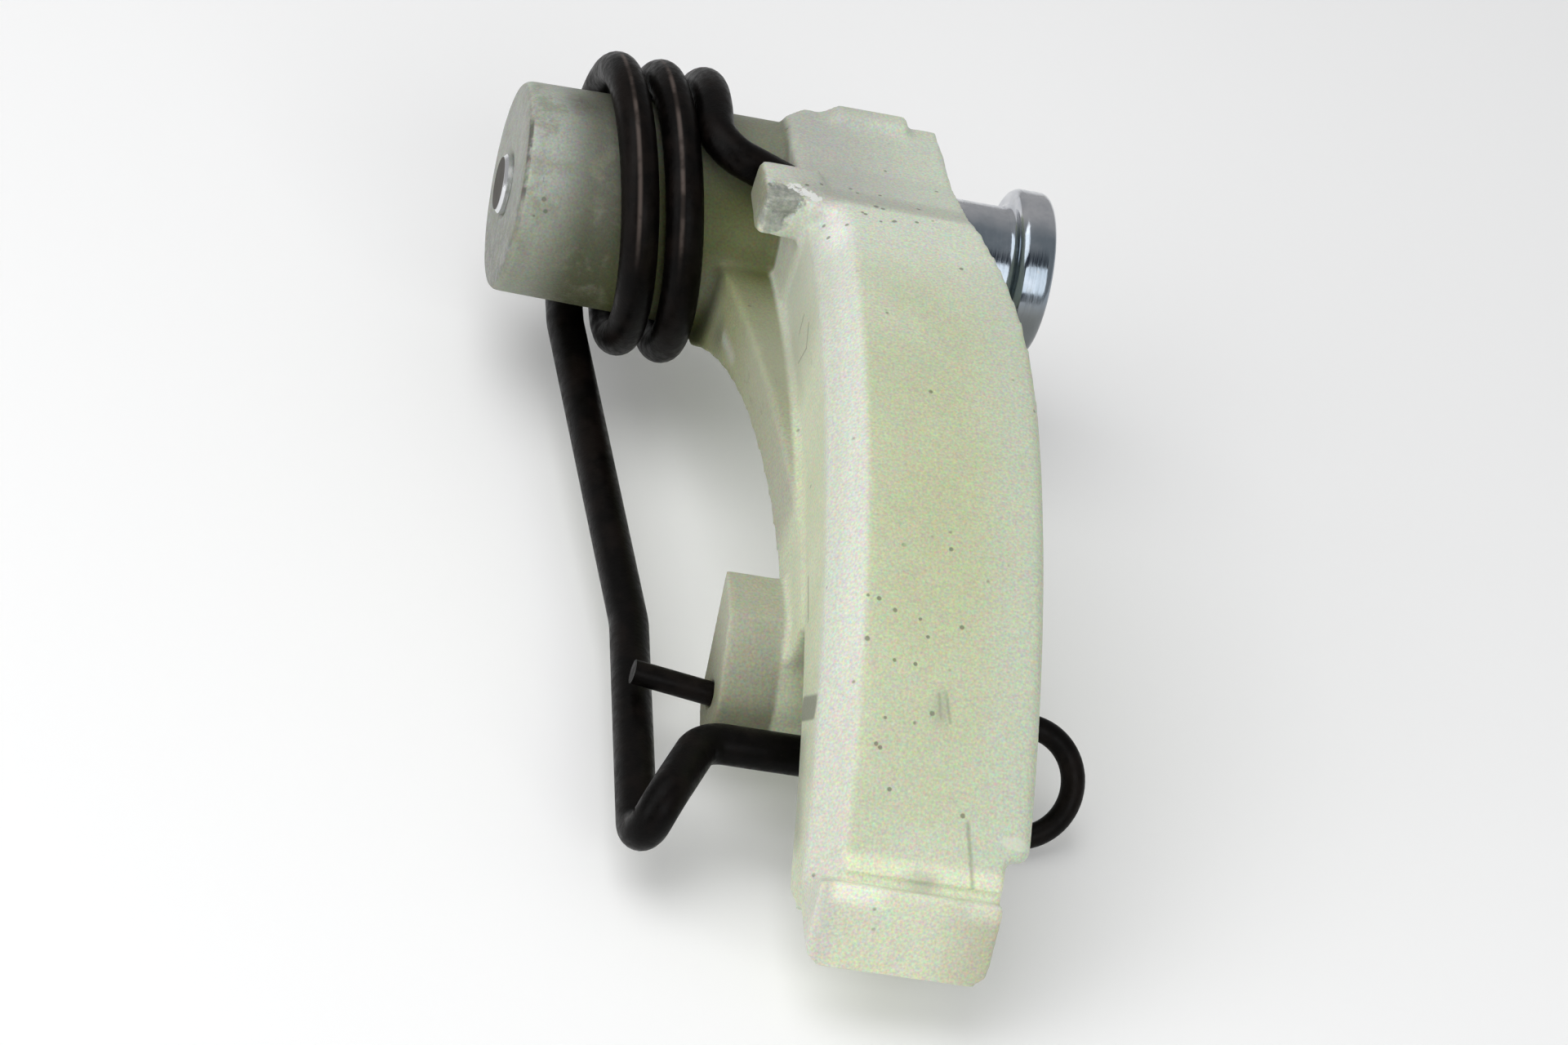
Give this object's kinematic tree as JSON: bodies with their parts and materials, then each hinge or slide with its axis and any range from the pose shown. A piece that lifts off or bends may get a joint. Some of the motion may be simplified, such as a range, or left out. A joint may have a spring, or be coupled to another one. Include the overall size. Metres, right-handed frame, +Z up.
{
  "type": "timing chain tensioner",
  "caption": "Timing chain tensioner: a moulded slipper with a curved chain face that swings on a headed pin, pushed by a torsion spring and held back by a lock pin.",
  "frame": {"origin": "on the pivot pin's axis at the outer face of its head", "axes": "+X along the pin axis out of the head, +Z up with the chain face looking up, the arm runs to -Y"},
  "size_m": [0.0447, 0.0823, 0.0278],
  "materials": {
    "nylon": "matte natural nylon, slightly milky",
    "spring_steel": "brown-black oiled spring steel",
    "pin_steel": "polished hardened steel",
    "lock_wire": "brown-black steel wire"
  },
  "bodies": {
    "pin": {"pivot_pin": "pin_steel"},
    "lever": {"slipper": "nylon", "torsion_spring": "spring_steel"},
    "lock": {"lock_pin": "lock_wire"}
  },
  "joints": [
    {"name": "slipper_swing", "type": "hinge", "parent": "pin", "child": "lever", "pos_m": [0, 0, 0], "axis": [-1, 0, 0], "range_deg": [0, 20]},
    {"name": "lock_pull", "type": "slide", "parent": "lever", "child": "lock", "axis": [0.9925, -0.075, -0.096], "range_m": [0, 0.04]}
  ]
}
